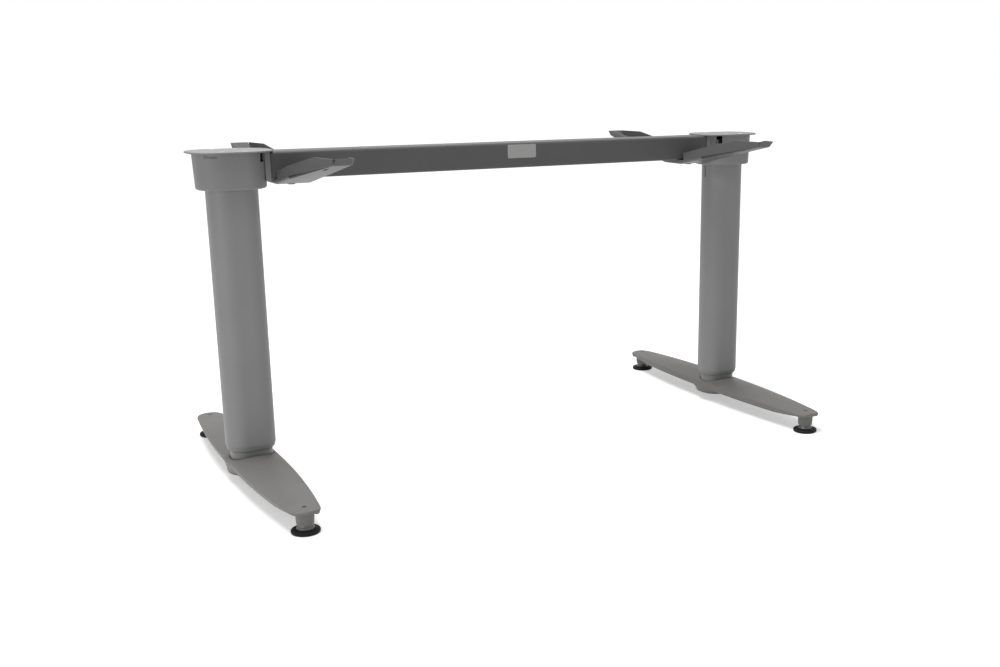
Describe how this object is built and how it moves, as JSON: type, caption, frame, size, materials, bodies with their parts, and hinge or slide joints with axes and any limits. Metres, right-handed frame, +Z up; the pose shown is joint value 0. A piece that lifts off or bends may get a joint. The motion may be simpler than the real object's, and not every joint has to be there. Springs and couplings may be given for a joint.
{
  "type": "standing desk frame",
  "caption": "Height-adjustable desk frame: telescopic oval columns on leaf-shaped cast feet with levelling glides, joined by a cross beam that carries pressed table arms.",
  "frame": {"origin": "on the floor, midway between the two columns", "axes": "+X along the cross beam, +Y to the back, +Z up"},
  "size_m": [1.252, 0.69, 0.619],
  "materials": {
    "cast_foot": "die-cast, warm grey powder coat",
    "cast_housing": "die-cast, grey powder coat",
    "column_paint": "grey powder coat",
    "inner_tube_paint": "grey powder coat",
    "collar_plastic": "grey moulded plastic",
    "slide_plastic": "natural acetal",
    "beam_paint": "dark grey powder coat",
    "pad_rubber": "black rubber",
    "glide_zinc": "zinc-plated steel",
    "nut_brass": "turned bronze",
    "drive_casting": "as cast",
    "motor_can": "blackened steel can",
    "drive_steel": "ground steel",
    "zinc_steel": "zinc-plated steel"
  },
  "bodies": {
    "left_base": {"left_foot": "cast_foot", "left_inner_tube": "inner_tube_paint", "left_base_plug": "drive_casting", "left_foot_screws": "zinc_steel", "left_push_tube": "drive_steel", "left_spindle_nut": "nut_brass", "left_slide_bush": "slide_plastic"},
    "right_base": {"right_foot": "cast_foot", "right_inner_tube": "inner_tube_paint", "right_base_plug": "drive_casting", "right_foot_screws": "zinc_steel", "right_push_tube": "drive_steel", "right_spindle_nut": "nut_brass", "right_slide_bush": "slide_plastic"},
    "left_spindle": {"left_spindle": "drive_steel"},
    "right_spindle": {"right_spindle": "drive_steel"},
    "left_front_glide": {"left_front_glide": "glide_zinc", "left_front_glide_pad": "pad_rubber"},
    "left_rear_glide": {"left_rear_glide": "glide_zinc", "left_rear_glide_pad": "pad_rubber"},
    "right_front_glide": {"right_front_glide": "glide_zinc", "right_front_glide_pad": "pad_rubber"},
    "right_rear_glide": {"right_rear_glide": "glide_zinc", "right_rear_glide_pad": "pad_rubber"},
    "upper_frame": {"cross_beam": "beam_paint", "left_arm": "beam_paint", "left_arm_bolts": "beam_paint", "left_arm_nuts": "zinc_steel", "left_arm_spacers": "zinc_steel", "left_beam_bolts": "zinc_steel", "left_beam_end_plate": "zinc_steel", "left_gear_case": "drive_casting", "left_gear_screws": "zinc_steel", "left_housing": "cast_housing", "left_lid_screws": "zinc_steel", "left_motor": "motor_can", "left_outer_tube": "column_paint", "left_spindle_bearing": "drive_steel", "left_top_plate": "column_paint", "left_tube_collar": "collar_plastic", "right_arm": "beam_paint", "right_arm_bolts": "beam_paint", "right_arm_nuts": "zinc_steel", "right_arm_spacers": "zinc_steel", "right_beam_bolts": "zinc_steel", "right_beam_end_plate": "zinc_steel", "right_gear_case": "drive_casting", "right_gear_screws": "zinc_steel", "right_housing": "cast_housing", "right_lid_screws": "zinc_steel", "right_motor": "motor_can", "right_outer_tube": "column_paint", "right_spindle_bearing": "drive_steel", "right_top_plate": "column_paint", "right_tube_collar": "collar_plastic"}
  },
  "joints": [
    {"name": "lift", "type": "slide", "parent": "left_base", "child": "upper_frame", "axis": [0, 0, 1], "range_m": [0, 0.35]},
    {"name": "right_lift", "type": "slide", "parent": "upper_frame", "child": "right_base", "axis": [0, 0, -1], "range_m": [0, 0.35]},
    {"name": "left_spindle_turn", "type": "hinge", "parent": "upper_frame", "child": "left_spindle", "pos_m": [-0.551, 0, 0.575], "axis": [0, 0, 1], "range_deg": [0, 12610]},
    {"name": "left_front_level", "type": "slide", "parent": "left_base", "child": "left_front_glide", "axis": [0, 0, -1], "range_m": [0, 0.012]},
    {"name": "left_rear_level", "type": "slide", "parent": "left_base", "child": "left_rear_glide", "axis": [0, 0, -1], "range_m": [0, 0.012]},
    {"name": "right_spindle_turn", "type": "hinge", "parent": "upper_frame", "child": "right_spindle", "pos_m": [0.551, 0, 0.575], "axis": [0, 0, 1], "range_deg": [0, 12610]},
    {"name": "right_front_level", "type": "slide", "parent": "right_base", "child": "right_front_glide", "axis": [0, 0, -1], "range_m": [0, 0.012]},
    {"name": "right_rear_level", "type": "slide", "parent": "right_base", "child": "right_rear_glide", "axis": [0, 0, -1], "range_m": [0, 0.012]}
  ],
  "couplings": [
    {"joint": "right_lift", "follows": "lift", "ratio": 1},
    {"joint": "left_spindle_turn", "follows": "lift", "rad_per_m": 628.32},
    {"joint": "right_spindle_turn", "follows": "lift", "rad_per_m": 628.32}
  ]
}
